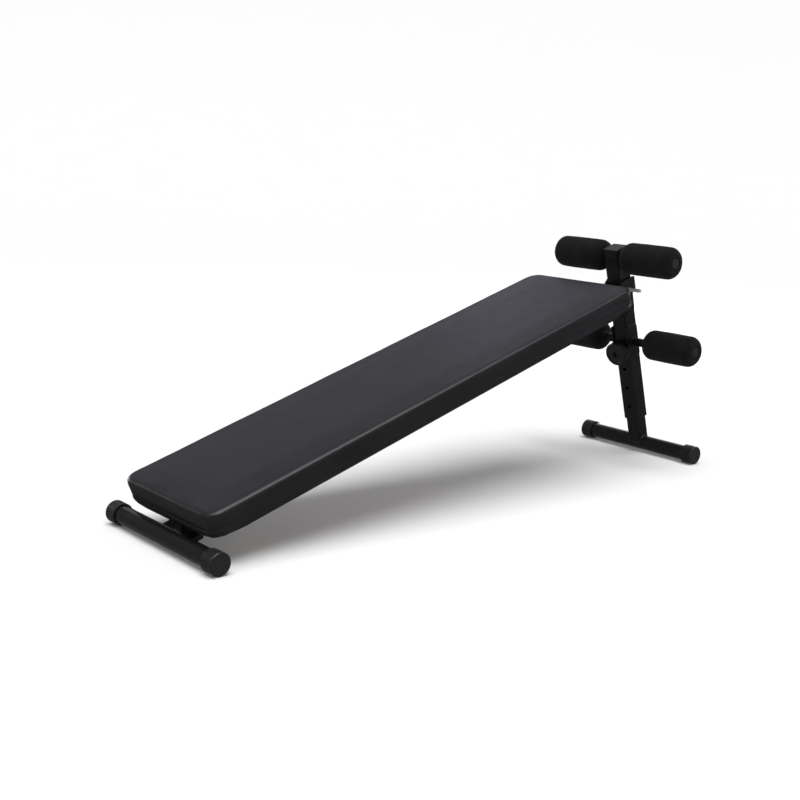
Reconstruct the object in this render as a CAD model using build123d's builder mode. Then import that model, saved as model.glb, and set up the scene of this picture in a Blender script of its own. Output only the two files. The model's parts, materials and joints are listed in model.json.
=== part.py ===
from build123d import *
from math import cos, radians, sin
import os

os.makedirs("parts", exist_ok=True)

# Decline sit up bench. X is the width, Y the length with the low end at -Y, Z is up.
# The floor is Z = 0 and the origin is the middle of the footprint.

# overall sizes
OVERALL_LENGTH = 1321.0
OVERALL_HEIGHT = 496.0
TILT = 17.3  # slope of the pad; the post stands square to it

# feet
FRONT_FOOT_LENGTH = 346.0
REAR_FOOT_LENGTH = 323.0
FOOT_TUBE_R = 17.0
FOOT_TUBE_WALL = 1.8
CAP_R = 20.5
CAP_LENGTH = 28.0
CAP_END = 4.0
CAP_CHAMFER = 1.2
CAP_FLUTES = 28
CAP_FLUTE_R = 1.1
CAP_STEM_LENGTH = 14.0
CAP_STEM_WALL = 1.8

# pad, measured from its lower front edge along the slope
PAD_FRONT_Y = -634.0
PAD_FRONT_Z = 49.0
PAD_LENGTH = 1092.0
PAD_WIDTH = 293.0
PAD_THICKNESS = 44.5
PAD_CORNER_R = 26.0
PAD_EDGE_R = 11.0
PAD_TUCK_R = 5.0
BOARD_THICKNESS = 12.0
BOARD_INSET = 9.5

# frame under the pad
STRAP_WIDTH = 40.0
STRAP_LENGTH = 220.0
STRAP_THICKNESS = 3.0
STRAP_CORNER_R = 8.0
STRAP_STATIONS = (190.0, 930.0)
PAD_BOLT_X = 85.0
PAD_BOLT_R = 4.0
PAD_BOLT_HEX = 13.0
PAD_BOLT_HEAD = 5.3
PAD_BOLT_TIP_GAP = 2.0
BEAM_WIDTH = 40.0
BEAM_HEIGHT = 25.0
BEAM_WALL = 2.0
BEAM_START = 42.0
BEAM_POST_GAP = 3.0
FRONT_PLATE_WIDTH = 100.0
FRONT_PLATE_LENGTH = 92.0
FRONT_PLATE_THICKNESS = 5.0
FRONT_PLATE_START = 4.0
TAB_THICKNESS = 4.0
TAB_END = 30.0
FRONT_BOLT_STATION = 15.0
FRONT_BOLT_R = 4.0
FRONT_BOLT_HEAD_R = 9.0
FRONT_BOLT_HEAD = 4.5
FRONT_NUT_HEX = 13.0
FRONT_NUT_HEIGHT = 6.5

# post and leg, measured from the rear foot's axis up the post
POST_SIZE = 38.0
POST_WALL = 2.0
POST_CORNER_R = 3.0
POST_BOTTOM = 66.0
POST_TOP = 481.5
LEG_SIZE = 32.0
LEG_WALL = 1.8
LEG_CORNER_R = 2.5
LEG_TOP = 250.0
LINER_CLEARANCE = 0.05
LINER_LENGTH = 60.0
HOLE_PITCH = 47.5
HOLE_COUNT = 4
KNOB_HEIGHT = 241.5
HEIGHT_HOLE_R = 5.05

# hinge between the beam and the post
PIVOT_HEIGHT = 352.0
PIVOT_R = 5.0
PIVOT_CLEARANCE = 0.05
PIVOT_HEAD_R = 9.0
PIVOT_HEAD = 5.0
PIVOT_NUT_HEX = 16.0
PIVOT_NUT_HEIGHT = 7.0
CHEEK_GAP = 1.0
CHEEK_THICKNESS = 4.0
CHEEK_BACK = 24.5
CHEEK_BACK_LOW = 381.0
CHEEK_TOP = 411.0
CHEEK_WAIST = 13.0
CHEEK_FRONT = 24.0
CHEEK_LOBE_R = 20.0
CHEEK_REACH = 82.0
CHEEK_EDGE_R = 3.0
HINGE_WASHER_R = 13.0
HINGE_WASHER_SLACK = 0.05
LOCK_HEIGHT = 387.0
LOCK_PIN_R = 4.0
LOCK_PIN_CLEARANCE = 0.05
LOCK_PIN_LENGTH = 38.0
LOCK_PIN_TIP_GAP = 0.4

# crossbars and rollers
BAR_R = 9.5
BAR_WALL = 1.5
LOWER_BAR_HEIGHT = 260.0
UPPER_HALF_SPAN = 162.0
LOWER_HALF_SPAN = 191.0
UPPER_ROLLER_R = 35.0
UPPER_ROLLER_LENGTH = 136.0
LOWER_ROLLER_R = 34.0
LOWER_ROLLER_LENGTH = 130.0
ROLLER_EDGE_R = 18.0
ROLLER_CLEARANCE = 0.05
ROLLER_RECESS_R = 13.0
ROLLER_RECESS = 4.5
PLUG_R = 11.5
PLUG_HEAD = 3.5
PLUG_STEM = 12.0
PLUG_RECESS = 0.5
PLUG_EDGE_R = 1.0
COLLAR_R = 14.0
COLLAR_LENGTH = 5.0
COLLAR_GAP = 0.4
BAR_PLATE_THICKNESS = 3.0
BAR_PLATE_BOTTOM = 226.0
BAR_PLATE_TOP = 298.0
BAR_PLATE_FRONT = 23.0
BAR_PLATE_BACK = 15.5
BAR_PLATE_CORNER_R = 4.0

# knob
BUSHING_R = 12.0
BUSHING_LENGTH = 8.0
KNOB_R = 26.5
KNOB_THICKNESS = 18.0
KNOB_STANDOFF = 9.0
KNOB_RIBS = 48
KNOB_RIB_R = 1.2
KNOB_RIM = 2.0
KNOB_DISH_R = 20.0
KNOB_DISH = 0.8
KNOB_SOCKET_R = 6.5
KNOB_SOCKET = 6.0
KNOB_PIN_R = 5.0
KNOB_PIN_IN_HEAD = 9.5
KNOB_PIN_TIP_GAP = 0.5
WELD_NUT_HEX = 19.0
WELD_NUT_HEIGHT = 14.0

# top cap
TOP_CAP_SIZE = 40.6
TOP_CAP_SKIRT = 20.0
TOP_CAP_THICKNESS = 3.0
TOP_CAP_EDGE_R = 2.0

# derived positions
FOOT_Y = OVERALL_LENGTH / 2 - CAP_R
SLOPE_COS = cos(radians(TILT))
SLOPE_SIN = sin(radians(TILT))
UPPER_BAR_HEIGHT = (OVERALL_HEIGHT - UPPER_ROLLER_R - CAP_R) / SLOPE_COS
POST_HALF = POST_SIZE / 2
LEG_HALF = LEG_SIZE / 2
PAD_MID = PAD_LENGTH / 2
BEAM_TOP = -STRAP_THICKNESS
BEAM_BOTTOM = BEAM_TOP - BEAM_HEIGHT
PLATE_BOTTOM = BEAM_BOTTOM - FRONT_PLATE_THICKNESS
TAB_BOTTOM = PLATE_BOTTOM - TAB_THICKNESS
CHEEK_INNER_X = POST_HALF + CHEEK_GAP
CHEEK_OUTER_X = CHEEK_INNER_X + CHEEK_THICKNESS
REAR_DY = FOOT_Y - PAD_FRONT_Y
REAR_DZ = CAP_R - PAD_FRONT_Z
POST_STATION = REAR_DY * SLOPE_COS + REAR_DZ * SLOPE_SIN
FOOT_DEPTH = REAR_DY * SLOPE_SIN - REAR_DZ * SLOPE_COS
FRONT_DY = -FOOT_Y - PAD_FRONT_Y
FRONT_TUBE_STATION = FRONT_DY * SLOPE_COS + REAR_DZ * SLOPE_SIN

# pad frame: local Y runs up the slope, local Z is square to the pad
pad_frame = Plane(origin=(0, PAD_FRONT_Y, PAD_FRONT_Z), x_dir=(1, 0, 0), z_dir=(0, -SLOPE_SIN, SLOPE_COS))
# post frame: local Z runs up the post, local Y points to the back of the bench
post_frame = Plane(origin=(0, FOOT_Y, CAP_R), x_dir=(1, 0, 0), z_dir=(0, -SLOPE_SIN, SLOPE_COS))


def across_post(height, x):
    """Plane facing +X on the post's axis, with local X to the back and local Y up the post."""
    origin = post_frame.from_local_coords((x, 0, height))
    return Plane(origin=origin, x_dir=post_frame.y_dir, z_dir=(1, 0, 0))


def facing_front(height, stand):
    """Plane facing out of the post's front, a given distance in front of the post's axis."""
    origin = post_frame.from_local_coords((0, -stand, height))
    return Plane(origin=origin, x_dir=(1, 0, 0), z_dir=-post_frame.y_dir)


def foot_plane(y, x):
    """Plane facing +X on a foot's axis."""
    return Plane(origin=(x, y, CAP_R), x_dir=(0, 1, 0), z_dir=(1, 0, 0))


def save(builder, name):
    builder.part.label = name
    export_step(builder.part, f"parts/{name}.step")


def ring(plane, outer, inner, length, name):
    """Round tube or washer standing on a plane."""
    with BuildPart() as tube:
        with BuildSketch(plane):
            Circle(outer)
            if inner > 0:
                Circle(inner, mode=Mode.SUBTRACT)
        extrude(amount=length)
    save(tube, name)


def end_cap(y, side, half_length, name):
    """Fluted plastic cap over one end of a foot tube, with a hollow stem inside the tube."""
    tube_end = half_length - CAP_END
    with BuildPart() as cap:
        with BuildSketch(foot_plane(y, side * half_length)):
            Circle(CAP_R)
        extrude(amount=-side * CAP_LENGTH)
        outer_edges = cap.edges().filter_by(GeomType.CIRCLE).group_by(Axis.X)[-1 if side > 0 else 0]
        chamfer(outer_edges, length=CAP_CHAMFER)
        with BuildSketch(foot_plane(y, side * (half_length - CAP_LENGTH))):
            Circle(FOOT_TUBE_R)
        extrude(amount=side * (CAP_LENGTH - CAP_END), mode=Mode.SUBTRACT)
        with BuildSketch(foot_plane(y, side * tube_end)):
            Circle(FOOT_TUBE_R - FOOT_TUBE_WALL)
            Circle(FOOT_TUBE_R - FOOT_TUBE_WALL - CAP_STEM_WALL, mode=Mode.SUBTRACT)
        extrude(amount=-side * CAP_STEM_LENGTH)
        with BuildSketch(foot_plane(y, side * (half_length - CAP_END))):
            with PolarLocations(CAP_R, CAP_FLUTES, start_angle=90 + 180 / CAP_FLUTES):
                Circle(CAP_FLUTE_R)
        extrude(amount=-side * CAP_LENGTH, mode=Mode.SUBTRACT)
    save(cap, name)


def foot_tube(y, half_length, name):
    """Round foot tube with open ends."""
    length = 2 * (half_length - CAP_END)
    ring(foot_plane(y, -length / 2), FOOT_TUBE_R, FOOT_TUBE_R - FOOT_TUBE_WALL, length, name)


# pad
with BuildPart() as pad_cushion:
    with BuildSketch(pad_frame.offset(BOARD_THICKNESS)):
        with Locations((0, PAD_MID)):
            RectangleRounded(PAD_WIDTH, PAD_LENGTH, PAD_CORNER_R)
    extrude(amount=PAD_THICKNESS - BOARD_THICKNESS)
    pad_top = pad_cushion.faces().sort_by(Axis(pad_frame.origin, pad_frame.z_dir))[-1]
    fillet(pad_top.edges(), radius=PAD_EDGE_R)
    pad_under = pad_cushion.faces().sort_by(Axis(pad_frame.origin, pad_frame.z_dir))[0]
    fillet(pad_under.edges(), radius=PAD_TUCK_R)
save(pad_cushion, "pad_cushion")

pad_bolt_spots = [(x, y) for y in STRAP_STATIONS for x in (-PAD_BOLT_X, PAD_BOLT_X)]

with BuildPart() as pad_board:
    with BuildSketch(pad_frame):
        with Locations((0, PAD_MID)):
            RectangleRounded(
                PAD_WIDTH - 2 * BOARD_INSET, PAD_LENGTH - 2 * BOARD_INSET, PAD_CORNER_R - BOARD_INSET
            )
    extrude(amount=BOARD_THICKNESS)
    with BuildSketch(pad_frame):
        with Locations(*pad_bolt_spots):
            Circle(PAD_BOLT_R)
    extrude(amount=BOARD_THICKNESS - PAD_BOLT_TIP_GAP, mode=Mode.SUBTRACT)
save(pad_board, "pad_board")

for strap_name, station in zip(("pad_strap_front", "pad_strap_rear"), STRAP_STATIONS):
    with BuildPart() as pad_strap:
        with BuildSketch(pad_frame.offset(BEAM_TOP)):
            with Locations((0, station)):
                RectangleRounded(STRAP_LENGTH, STRAP_WIDTH, STRAP_CORNER_R)
            with Locations((-PAD_BOLT_X, station), (PAD_BOLT_X, station)):
                Circle(PAD_BOLT_R, mode=Mode.SUBTRACT)
        extrude(amount=STRAP_THICKNESS)
    save(pad_strap, strap_name)

with BuildPart() as pad_bolts:
    with BuildSketch(pad_frame.offset(BEAM_TOP)):
        with Locations(*pad_bolt_spots):
            RegularPolygon(PAD_BOLT_HEX / 2, 6, major_radius=False)
    extrude(amount=-PAD_BOLT_HEAD)
    with BuildSketch(pad_frame.offset(BEAM_TOP)):
        with Locations(*pad_bolt_spots):
            Circle(PAD_BOLT_R)
    extrude(amount=STRAP_THICKNESS + BOARD_THICKNESS - PAD_BOLT_TIP_GAP)
save(pad_bolts, "pad_bolts")

# beam
beam_end = POST_STATION - POST_HALF - BEAM_POST_GAP
beam_length = beam_end - BEAM_START
beam_mid_depth = BEAM_TOP - BEAM_HEIGHT / 2
beam_origin = pad_frame.from_local_coords((0, BEAM_START, beam_mid_depth))
beam_front = Plane(origin=beam_origin, x_dir=(1, 0, 0), z_dir=pad_frame.y_dir)
with BuildPart() as main_beam:
    with BuildSketch(beam_front):
        RectangleRounded(BEAM_WIDTH, BEAM_HEIGHT, BEAM_WALL + 1)
        RectangleRounded(BEAM_WIDTH - 2 * BEAM_WALL, BEAM_HEIGHT - 2 * BEAM_WALL, 1, mode=Mode.SUBTRACT)
    extrude(amount=beam_length)
save(main_beam, "main_beam")

with BuildPart() as front_plate:
    with BuildSketch(pad_frame.offset(PLATE_BOTTOM)):
        with Locations((0, FRONT_PLATE_START + FRONT_PLATE_LENGTH / 2)):
            Rectangle(FRONT_PLATE_WIDTH, FRONT_PLATE_LENGTH)
        with Locations((0, FRONT_BOLT_STATION)):
            Circle(FRONT_BOLT_R, mode=Mode.SUBTRACT)
    extrude(amount=FRONT_PLATE_THICKNESS)
save(front_plate, "front_plate")

with BuildPart() as foot_tab:
    with BuildSketch(pad_frame.offset(TAB_BOTTOM)):
        with Locations((0, (FRONT_TUBE_STATION + TAB_END) / 2)):
            Rectangle(FRONT_PLATE_WIDTH, TAB_END - FRONT_TUBE_STATION)
        with Locations((0, FRONT_BOLT_STATION)):
            Circle(FRONT_BOLT_R, mode=Mode.SUBTRACT)
    extrude(amount=TAB_THICKNESS)
    with BuildSketch(foot_plane(-FOOT_Y, -FRONT_PLATE_WIDTH)):
        Circle(FOOT_TUBE_R)
    extrude(amount=2 * FRONT_PLATE_WIDTH, mode=Mode.SUBTRACT)
save(foot_tab, "foot_tab")

with BuildPart() as front_foot_bolt:
    with BuildSketch(pad_frame.offset(BEAM_BOTTOM)):
        with Locations((0, FRONT_BOLT_STATION)):
            Circle(FRONT_BOLT_HEAD_R)
    extrude(amount=FRONT_BOLT_HEAD, taper=35)
    with BuildSketch(pad_frame.offset(BEAM_BOTTOM)):
        with Locations((0, FRONT_BOLT_STATION)):
            Circle(FRONT_BOLT_R)
    extrude(amount=-(FRONT_PLATE_THICKNESS + TAB_THICKNESS + FRONT_NUT_HEIGHT))
save(front_foot_bolt, "front_foot_bolt")

with BuildPart() as front_foot_nut:
    with BuildSketch(pad_frame.offset(TAB_BOTTOM)):
        with Locations((0, FRONT_BOLT_STATION)):
            RegularPolygon(FRONT_NUT_HEX / 2, 6, major_radius=False)
            Circle(FRONT_BOLT_R, mode=Mode.SUBTRACT)
    extrude(amount=-FRONT_NUT_HEIGHT)
save(front_foot_nut, "front_foot_nut")

foot_tube(-FOOT_Y, FRONT_FOOT_LENGTH / 2, "front_foot_tube")
end_cap(-FOOT_Y, -1, FRONT_FOOT_LENGTH / 2, "front_end_cap_left")
end_cap(-FOOT_Y, 1, FRONT_FOOT_LENGTH / 2, "front_end_cap_right")

# hinge cheeks: a plate each side of the beam that reaches back around the post
cheek_beam_bottom = FOOT_DEPTH + BEAM_BOTTOM
cheek_beam_top = FOOT_DEPTH + BEAM_TOP
for cheek_name, cheek_x in (("hinge_cheek_left", -CHEEK_OUTER_X), ("hinge_cheek_right", CHEEK_INNER_X)):
    with BuildPart() as hinge_cheek:
        with BuildSketch(across_post(0, cheek_x)):
            with BuildLine():
                Polyline(
                    (-CHEEK_REACH, cheek_beam_bottom),
                    (-CHEEK_FRONT - CHEEK_LOBE_R, cheek_beam_bottom),
                    (-CHEEK_LOBE_R / 2, PIVOT_HEIGHT - CHEEK_LOBE_R),
                    (CHEEK_LOBE_R / 2, PIVOT_HEIGHT - CHEEK_LOBE_R),
                    (CHEEK_WAIST, PIVOT_HEIGHT - CHEEK_LOBE_R / 2),
                    (CHEEK_WAIST, CHEEK_BACK_LOW - CHEEK_WAIST / 2),
                    (CHEEK_BACK, CHEEK_BACK_LOW),
                    (CHEEK_BACK, CHEEK_TOP),
                    (-CHEEK_WAIST, CHEEK_TOP),
                    (-CHEEK_FRONT, cheek_beam_top),
                    (-CHEEK_REACH, cheek_beam_top),
                    close=True,
                )
            make_face()
            with Locations((0, PIVOT_HEIGHT)):
                Circle(PIVOT_R, mode=Mode.SUBTRACT)
            if cheek_x > 0:
                with Locations((0, LOCK_HEIGHT)):
                    Circle(LOCK_PIN_R + LOCK_PIN_CLEARANCE, mode=Mode.SUBTRACT)
        extrude(amount=CHEEK_THICKNESS)
        corner_edges = hinge_cheek.edges().filter_by(Axis.X)
        fillet(corner_edges.filter_by(GeomType.LINE), radius=CHEEK_EDGE_R)
    save(hinge_cheek, cheek_name)

with BuildPart() as pivot_bolt:
    with BuildSketch(across_post(PIVOT_HEIGHT, CHEEK_OUTER_X)):
        Circle(PIVOT_HEAD_R)
    extrude(amount=PIVOT_HEAD, taper=30)
    with BuildSketch(across_post(PIVOT_HEIGHT, CHEEK_OUTER_X)):
        Circle(PIVOT_R)
    extrude(amount=-(2 * CHEEK_OUTER_X + PIVOT_NUT_HEIGHT))
save(pivot_bolt, "pivot_bolt")

with BuildPart() as pivot_nut:
    with BuildSketch(across_post(PIVOT_HEIGHT, -CHEEK_OUTER_X)):
        RegularPolygon(PIVOT_NUT_HEX / 2, 6, major_radius=False)
        Circle(PIVOT_R, mode=Mode.SUBTRACT)
    extrude(amount=-PIVOT_NUT_HEIGHT)
save(pivot_nut, "pivot_nut")

lock_bore_r = LOCK_PIN_R + LOCK_PIN_CLEARANCE
with BuildPart() as lock_pin:
    with BuildSketch(across_post(LOCK_HEIGHT, POST_HALF + LOCK_PIN_TIP_GAP)):
        Circle(LOCK_PIN_R)
    extrude(amount=LOCK_PIN_LENGTH)
    pin_ends = lock_pin.edges().filter_by(GeomType.CIRCLE)
    chamfer(pin_ends, length=1)
save(lock_pin, "lock_pin")

# post
hole_heights = [KNOB_HEIGHT - HOLE_PITCH * i for i in range(HOLE_COUNT)]
with BuildPart() as post_tube:
    with BuildSketch(post_frame.offset(POST_BOTTOM)):
        RectangleRounded(POST_SIZE, POST_SIZE, POST_CORNER_R)
        RectangleRounded(POST_SIZE - 2 * POST_WALL, POST_SIZE - 2 * POST_WALL, 1, mode=Mode.SUBTRACT)
    extrude(amount=POST_TOP - POST_BOTTOM)
    for height in hole_heights:
        with BuildSketch(facing_front(height, 0)):
            Circle(HEIGHT_HOLE_R)
        extrude(amount=POST_HALF, mode=Mode.SUBTRACT)
    with BuildSketch(facing_front(KNOB_HEIGHT, 0)):
        Circle(HEIGHT_HOLE_R)
    extrude(amount=-POST_HALF, mode=Mode.SUBTRACT)
    for height in (UPPER_BAR_HEIGHT, LOWER_BAR_HEIGHT):
        with BuildSketch(across_post(height, -POST_HALF)):
            Circle(BAR_R)
        extrude(amount=POST_SIZE, mode=Mode.SUBTRACT)
    with BuildSketch(across_post(PIVOT_HEIGHT, -POST_HALF)):
        Circle(PIVOT_R + PIVOT_CLEARANCE)
    extrude(amount=POST_SIZE, mode=Mode.SUBTRACT)
    with BuildSketch(across_post(LOCK_HEIGHT, 0)):
        Circle(lock_bore_r)
    extrude(amount=POST_HALF, mode=Mode.SUBTRACT)
save(post_tube, "post_tube")

with BuildPart() as post_top_cap:
    with BuildSketch(post_frame.offset(POST_TOP - TOP_CAP_SKIRT)):
        RectangleRounded(TOP_CAP_SIZE, TOP_CAP_SIZE, POST_CORNER_R + 1)
    extrude(amount=TOP_CAP_SKIRT + TOP_CAP_THICKNESS)
    cap_top = post_top_cap.faces().sort_by(Axis(post_frame.origin, post_frame.z_dir))[-1]
    fillet(cap_top.edges(), radius=TOP_CAP_EDGE_R)
    with BuildSketch(post_frame.offset(POST_TOP - TOP_CAP_SKIRT)):
        RectangleRounded(POST_SIZE, POST_SIZE, POST_CORNER_R)
    extrude(amount=TOP_CAP_SKIRT, mode=Mode.SUBTRACT)
    with BuildSketch(across_post(UPPER_BAR_HEIGHT, -TOP_CAP_SIZE)):
        Circle(BAR_R + 1)
        with Locations((0, -TOP_CAP_SKIRT)):
            Rectangle(2 * BAR_R + 2, 2 * TOP_CAP_SKIRT)
    extrude(amount=2 * TOP_CAP_SIZE, mode=Mode.SUBTRACT)
save(post_top_cap, "post_top_cap")

liner_size = POST_SIZE - 2 * POST_WALL
liner_opening = LEG_SIZE + 2 * LINER_CLEARANCE
with BuildPart() as post_liner:
    with BuildSketch(post_frame.offset(POST_BOTTOM)):
        RectangleRounded(liner_size, liner_size, 1)
        RectangleRounded(liner_opening, liner_opening, LEG_CORNER_R, mode=Mode.SUBTRACT)
    extrude(amount=LINER_LENGTH)
    with BuildSketch(facing_front(hole_heights[-1], 0)):
        Circle(HEIGHT_HOLE_R)
    extrude(amount=POST_HALF, mode=Mode.SUBTRACT)
save(post_liner, "post_liner")

with BuildPart() as hinge_washers:
    washer_length = CHEEK_GAP - 2 * HINGE_WASHER_SLACK
    for washer_x in (-POST_HALF - HINGE_WASHER_SLACK - washer_length, POST_HALF + HINGE_WASHER_SLACK):
        with BuildSketch(across_post(PIVOT_HEIGHT, washer_x)):
            Circle(HINGE_WASHER_R)
            Circle(PIVOT_R + PIVOT_CLEARANCE, mode=Mode.SUBTRACT)
        extrude(amount=washer_length)
save(hinge_washers, "hinge_washers")

# crossbars
upper_bar_half = UPPER_HALF_SPAN - PLUG_HEAD - PLUG_RECESS
lower_bar_half = LOWER_HALF_SPAN - PLUG_HEAD - PLUG_RECESS
for bar_name, height, half in (
    ("upper_crossbar", UPPER_BAR_HEIGHT, upper_bar_half),
    ("lower_crossbar", LOWER_BAR_HEIGHT, lower_bar_half),
):
    ring(across_post(height, -half), BAR_R, BAR_R - BAR_WALL, 2 * half, bar_name)

with BuildPart() as crossbar_plugs:
    for height, half in ((UPPER_BAR_HEIGHT, upper_bar_half), (LOWER_BAR_HEIGHT, lower_bar_half)):
        for side in (-1, 1):
            with BuildSketch(across_post(height, side * half)):
                Circle(PLUG_R)
            extrude(amount=side * PLUG_HEAD)
            with BuildSketch(across_post(height, side * half)):
                Circle(BAR_R - BAR_WALL)
            extrude(amount=-side * PLUG_STEM)
    plug_rims = [edge for edge in crossbar_plugs.edges().filter_by(GeomType.CIRCLE) if edge.radius > BAR_R]
    fillet(plug_rims, radius=PLUG_EDGE_R)
save(crossbar_plugs, "crossbar_plugs")

lower_roller_inner = LOWER_HALF_SPAN - LOWER_ROLLER_LENGTH
with BuildPart() as roller_collars:
    for collar_x in (-lower_roller_inner + COLLAR_GAP, lower_roller_inner - COLLAR_GAP - COLLAR_LENGTH):
        with BuildSketch(across_post(LOWER_BAR_HEIGHT, collar_x)):
            Circle(COLLAR_R)
            Circle(BAR_R, mode=Mode.SUBTRACT)
        extrude(amount=COLLAR_LENGTH)
save(roller_collars, "roller_collars")

for plate_name, plate_x in (
    ("crossbar_plate_left", -POST_HALF - BAR_PLATE_THICKNESS),
    ("crossbar_plate_right", POST_HALF),
):
    with BuildPart() as crossbar_plate:
        with BuildSketch(across_post(0, plate_x)):
            plate_middle = (BAR_PLATE_BOTTOM + BAR_PLATE_TOP) / 2
            with Locations(((BAR_PLATE_BACK - BAR_PLATE_FRONT) / 2, plate_middle)):
                RectangleRounded(
                    BAR_PLATE_FRONT + BAR_PLATE_BACK, BAR_PLATE_TOP - BAR_PLATE_BOTTOM, BAR_PLATE_CORNER_R
                )
            with Locations((0, LOWER_BAR_HEIGHT)):
                Circle(BAR_R, mode=Mode.SUBTRACT)
        extrude(amount=BAR_PLATE_THICKNESS)
    save(crossbar_plate, plate_name)


def foam_roller(name, side, height, half_span, radius, length):
    """Foam roller with rounded ends and a recess in its outer end for the bar's plug."""
    outer_end = across_post(height, side * half_span)
    with BuildPart() as roller:
        with BuildSketch(outer_end):
            Circle(radius)
        extrude(amount=-side * length)
        fillet(roller.edges().filter_by(GeomType.CIRCLE), radius=ROLLER_EDGE_R)
        with BuildSketch(outer_end):
            Circle(BAR_R + ROLLER_CLEARANCE)
        extrude(amount=-side * length, mode=Mode.SUBTRACT)
        with BuildSketch(outer_end):
            Circle(ROLLER_RECESS_R)
        extrude(amount=-side * ROLLER_RECESS, mode=Mode.SUBTRACT)
    save(roller, name)


for side_name, side in (("left", -1), ("right", 1)):
    foam_roller(
        f"upper_roller_{side_name}",
        side,
        UPPER_BAR_HEIGHT,
        UPPER_HALF_SPAN,
        UPPER_ROLLER_R,
        UPPER_ROLLER_LENGTH,
    )
    foam_roller(
        f"lower_roller_{side_name}",
        side,
        LOWER_BAR_HEIGHT,
        LOWER_HALF_SPAN,
        LOWER_ROLLER_R,
        LOWER_ROLLER_LENGTH,
    )

# knob, its bushing and the nut behind it
ring(facing_front(KNOB_HEIGHT, POST_HALF), BUSHING_R, HEIGHT_HOLE_R, BUSHING_LENGTH, "knob_bushing")

knob_back = POST_HALF + KNOB_STANDOFF
knob_face = knob_back + KNOB_THICKNESS
with BuildPart() as knob_head:
    with BuildSketch(facing_front(KNOB_HEIGHT, knob_back)):
        Circle(KNOB_R)
    extrude(amount=KNOB_THICKNESS)
    fillet(knob_head.edges().filter_by(GeomType.CIRCLE), radius=KNOB_RIM)
    with BuildSketch(facing_front(KNOB_HEIGHT, knob_face)):
        Circle(KNOB_DISH_R)
    extrude(amount=-KNOB_DISH, mode=Mode.SUBTRACT)
    with BuildSketch(facing_front(KNOB_HEIGHT, knob_face)):
        Circle(KNOB_SOCKET_R)
    extrude(amount=-KNOB_SOCKET, mode=Mode.SUBTRACT)
    with BuildSketch(facing_front(KNOB_HEIGHT, knob_back)):
        with PolarLocations(KNOB_R, KNOB_RIBS):
            Circle(KNOB_RIB_R)
    extrude(amount=KNOB_THICKNESS, mode=Mode.SUBTRACT)
    with BuildSketch(facing_front(KNOB_HEIGHT, knob_back)):
        Circle(KNOB_PIN_R)
    extrude(amount=KNOB_PIN_IN_HEAD, mode=Mode.SUBTRACT)
save(knob_head, "knob_head")

knob_pin_tip = LEG_HALF + KNOB_PIN_TIP_GAP
with BuildPart() as knob_pin:
    with BuildSketch(facing_front(KNOB_HEIGHT, knob_pin_tip)):
        Circle(KNOB_PIN_R)
    extrude(amount=knob_back + KNOB_PIN_IN_HEAD - knob_pin_tip)
save(knob_pin, "knob_pin")

with BuildPart() as rear_weld_nut:
    with BuildSketch(facing_front(KNOB_HEIGHT, -POST_HALF)):
        RegularPolygon(WELD_NUT_HEX / 2, 6, major_radius=False)
        Circle(HEIGHT_HOLE_R, mode=Mode.SUBTRACT)
    extrude(amount=-WELD_NUT_HEIGHT)
save(rear_weld_nut, "rear_weld_nut")

# leg
with BuildPart() as inner_leg_tube:
    with BuildSketch(post_frame):
        RectangleRounded(LEG_SIZE, LEG_SIZE, LEG_CORNER_R)
        RectangleRounded(LEG_SIZE - 2 * LEG_WALL, LEG_SIZE - 2 * LEG_WALL, 1, mode=Mode.SUBTRACT)
    extrude(amount=LEG_TOP)
    with BuildSketch(foot_plane(FOOT_Y, -LEG_SIZE)):
        Circle(FOOT_TUBE_R)
    extrude(amount=2 * LEG_SIZE, mode=Mode.SUBTRACT)
    for height in hole_heights:
        with BuildSketch(facing_front(height, -LEG_SIZE)):
            Circle(HEIGHT_HOLE_R)
        extrude(amount=2 * LEG_SIZE, mode=Mode.SUBTRACT)
save(inner_leg_tube, "inner_leg_tube")

foot_tube(FOOT_Y, REAR_FOOT_LENGTH / 2, "rear_foot_tube")
end_cap(FOOT_Y, -1, REAR_FOOT_LENGTH / 2, "rear_end_cap_left")
end_cap(FOOT_Y, 1, REAR_FOOT_LENGTH / 2, "rear_end_cap_right")
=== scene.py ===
import bpy
import bmesh
import json
import math
from mathutils import Matrix, Vector, noise


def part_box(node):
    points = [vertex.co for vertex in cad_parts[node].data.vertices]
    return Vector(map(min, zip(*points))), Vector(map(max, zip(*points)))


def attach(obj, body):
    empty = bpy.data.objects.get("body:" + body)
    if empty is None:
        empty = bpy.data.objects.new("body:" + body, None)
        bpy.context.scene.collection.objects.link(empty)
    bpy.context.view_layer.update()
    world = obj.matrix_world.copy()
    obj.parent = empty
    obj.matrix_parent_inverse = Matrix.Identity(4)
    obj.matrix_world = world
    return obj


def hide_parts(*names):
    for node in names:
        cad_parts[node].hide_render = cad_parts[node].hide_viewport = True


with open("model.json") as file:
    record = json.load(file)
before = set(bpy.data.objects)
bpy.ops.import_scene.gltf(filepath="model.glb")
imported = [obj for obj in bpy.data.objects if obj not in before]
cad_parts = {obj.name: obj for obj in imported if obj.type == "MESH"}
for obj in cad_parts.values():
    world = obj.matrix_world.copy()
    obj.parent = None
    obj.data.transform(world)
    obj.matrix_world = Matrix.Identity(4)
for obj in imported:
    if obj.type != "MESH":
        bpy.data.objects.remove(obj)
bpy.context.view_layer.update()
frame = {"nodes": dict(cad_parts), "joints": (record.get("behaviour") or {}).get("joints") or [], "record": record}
NODES = frame["nodes"]
RECORD = frame["record"]
JOINTS = {joint["name"]: joint for joint in frame["joints"]}
MM = 0.001

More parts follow.
